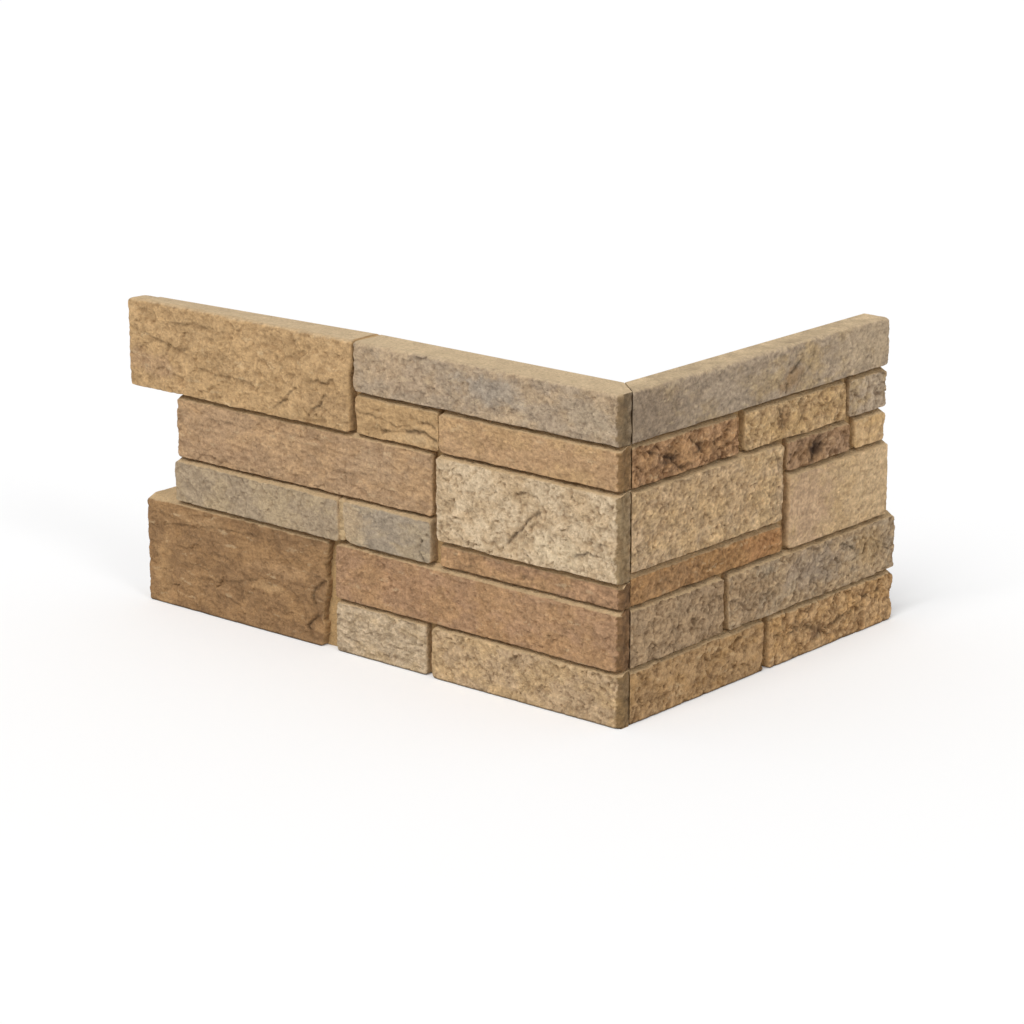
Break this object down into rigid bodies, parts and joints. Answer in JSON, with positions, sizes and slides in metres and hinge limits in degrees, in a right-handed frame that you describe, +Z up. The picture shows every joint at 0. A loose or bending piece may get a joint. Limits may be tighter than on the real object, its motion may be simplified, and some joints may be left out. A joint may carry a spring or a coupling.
{
  "type": "corner stone veneer panel",
  "caption": "L-shaped ledge-stone corner veneer of cast concrete, two flat-backed wings with stepped ends, mitred and glued.",
  "frame": {"origin": "under the middle of the piece: the centre of its bounding box, on the floor", "axes": "+Z up the corner; the long wing lies along X at the -Y side with its flat back facing +Y; the short wing lies along Y at the +X side with its flat back facing -X; the wall's corner is at x 0.13775, y -0.08625"},
  "size_m": [0.3026, 0.2116, 0.15],
  "materials": {
    "cast_stone": "matte, rough split-stone relief in mixed tans, greys and browns",
    "adhesive": "matte set adhesive"
  },
  "bodies": {
    "root": {"long_wing": "cast_stone", "short_wing": "cast_stone", "corner_adhesive": "adhesive"}
  },
  "joints": []
}
